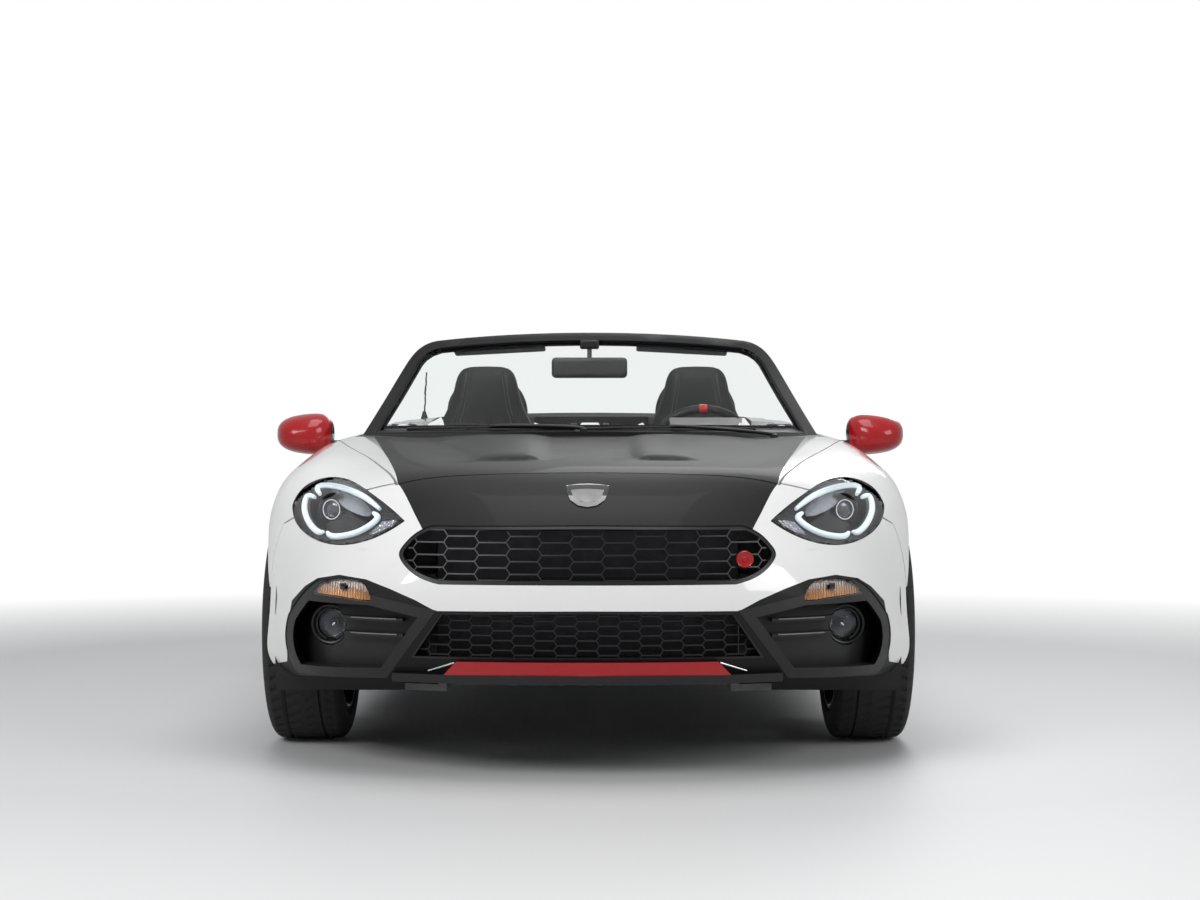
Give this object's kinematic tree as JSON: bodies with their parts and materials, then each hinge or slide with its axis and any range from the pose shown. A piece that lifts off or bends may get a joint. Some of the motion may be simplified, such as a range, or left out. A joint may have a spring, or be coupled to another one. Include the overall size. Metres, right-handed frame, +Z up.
{
  "type": "roadster car",
  "caption": "Open two-seat roadster with lowered soft top, matte bonnet panel, honeycomb grilles, opening doors, bonnet and boot lid, steered front wheels.",
  "frame": {"origin": "on the ground under the middle of the car's bounding box", "axes": "+X is the car's left, +Y points to its tail, +Z is up"},
  "size_m": [1.9208, 4.0532, 1.165],
  "materials": {
    "body_white": "gloss",
    "matte_black": "matte",
    "accent_red": "gloss",
    "trim_black": "matte",
    "lens_clear": "gloss",
    "lens_red": "gloss",
    "glass": "gloss",
    "leather_black": "satin",
    "roof_fabric": "matte",
    "tub_steel": "satin",
    "engine_metal": "satin",
    "running_gear": "satin",
    "exhaust_steel": "satin",
    "tyre": "matte",
    "alloy_dark": "satin",
    "disc_iron": "satin"
  },
  "bodies": {
    "car_body": {"front_frame": "tub_steel", "firewall": "tub_steel", "floor_tub": "tub_steel", "rear_bulkhead": "tub_steel", "rear_frame": "tub_steel", "front_suspension": "running_gear", "rear_suspension": "running_gear", "powertrain": "engine_metal", "exhaust": "exhaust_steel", "cowl_panel": "trim_black", "front_bumper": "body_white", "fender_left": "body_white", "fender_right": "body_white", "quarter_left": "body_white", "quarter_right": "body_white", "rear_bumper": "body_white", "rear_diffuser": "trim_black", "grilles": "trim_black", "headlamps": "lens_clear", "tail_lamps": "lens_red", "corner_intakes": "trim_black", "front_splitter": "trim_black", "lip_strip": "accent_red", "windshield_frame": "matte_black", "windshield_glass": "glass", "dashboard": "trim_black", "seat_left": "leather_black", "seat_right": "leather_black", "center_console": "trim_black", "roll_hoops": "trim_black", "soft_top": "roof_fabric"},
    "hood": {"hood": "body_white"},
    "trunk_lid": {"trunk_lid": "matte_black"},
    "door_left": {"door_left": "body_white", "mirror_left": "accent_red"},
    "door_right": {"door_right": "body_white", "mirror_right": "accent_red"},
    "steering_wheel": {"steering_wheel": "trim_black"},
    "knuckle_left": {"knuckle_left": "running_gear"},
    "knuckle_right": {"knuckle_right": "running_gear"},
    "wheel_front_left": {"tyre_front_left": "tyre", "rim_front_left": "alloy_dark", "disc_front_left": "disc_iron"},
    "wheel_front_right": {"tyre_front_right": "tyre", "rim_front_right": "alloy_dark", "disc_front_right": "disc_iron"},
    "wheel_rear_left": {"tyre_rear_left": "tyre", "rim_rear_left": "alloy_dark", "disc_rear_left": "disc_iron"},
    "wheel_rear_right": {"tyre_rear_right": "tyre", "rim_rear_right": "alloy_dark", "disc_rear_right": "disc_iron"}
  },
  "joints": [
    {"name": "steer_left", "type": "hinge", "parent": "car_body", "child": "knuckle_left", "pos_m": [0.7, -1.168, 0.308], "axis": [0, 0, 1], "range_deg": [-33, 33]},
    {"name": "steer_right", "type": "hinge", "parent": "car_body", "child": "knuckle_right", "pos_m": [-0.7, -1.168, 0.308], "axis": [0, 0, 1], "range_deg": [-33, 33]},
    {"name": "steering_wheel_turn", "type": "hinge", "parent": "car_body", "child": "steering_wheel", "pos_m": [0.365, 0.058, 0.758], "axis": [0, 0.9063, 0.4226], "range_deg": [-495, 495]},
    {"name": "spin_front_left", "type": "hinge", "parent": "knuckle_left", "child": "wheel_front_left", "pos_m": [0.748, -1.168, 0.308], "axis": [1, 0, 0], "continuous": true},
    {"name": "spin_front_right", "type": "hinge", "parent": "knuckle_right", "child": "wheel_front_right", "pos_m": [-0.748, -1.168, 0.308], "axis": [1, 0, 0], "continuous": true},
    {"name": "spin_rear_left", "type": "hinge", "parent": "car_body", "child": "wheel_rear_left", "pos_m": [0.7515, 1.142, 0.308], "axis": [1, 0, 0], "continuous": true},
    {"name": "spin_rear_right", "type": "hinge", "parent": "car_body", "child": "wheel_rear_right", "pos_m": [-0.7515, 1.142, 0.308], "axis": [1, 0, 0], "continuous": true},
    {"name": "hood_hinge", "type": "hinge", "parent": "car_body", "child": "hood", "pos_m": [0, -0.598, 0.822], "axis": [-1, 0, 0], "range_deg": [0, 50]},
    {"name": "trunk_hinge", "type": "hinge", "parent": "car_body", "child": "trunk_lid", "pos_m": [0, 1.02, 0.925], "axis": [1, 0, 0], "range_deg": [0, 70]},
    {"name": "door_left_hinge", "type": "hinge", "parent": "car_body", "child": "door_left", "pos_m": [0.838, -0.492, 0.5], "axis": [0, 0, -1], "range_deg": [0, 62]},
    {"name": "door_right_hinge", "type": "hinge", "parent": "car_body", "child": "door_right", "pos_m": [-0.838, -0.492, 0.5], "axis": [0, 0, 1], "range_deg": [0, 62]}
  ],
  "couplings": [
    {"joint": "steer_right", "follows": "steer_left", "ratio": 1},
    {"joint": "steering_wheel_turn", "follows": "steer_left", "ratio": 15}
  ]
}
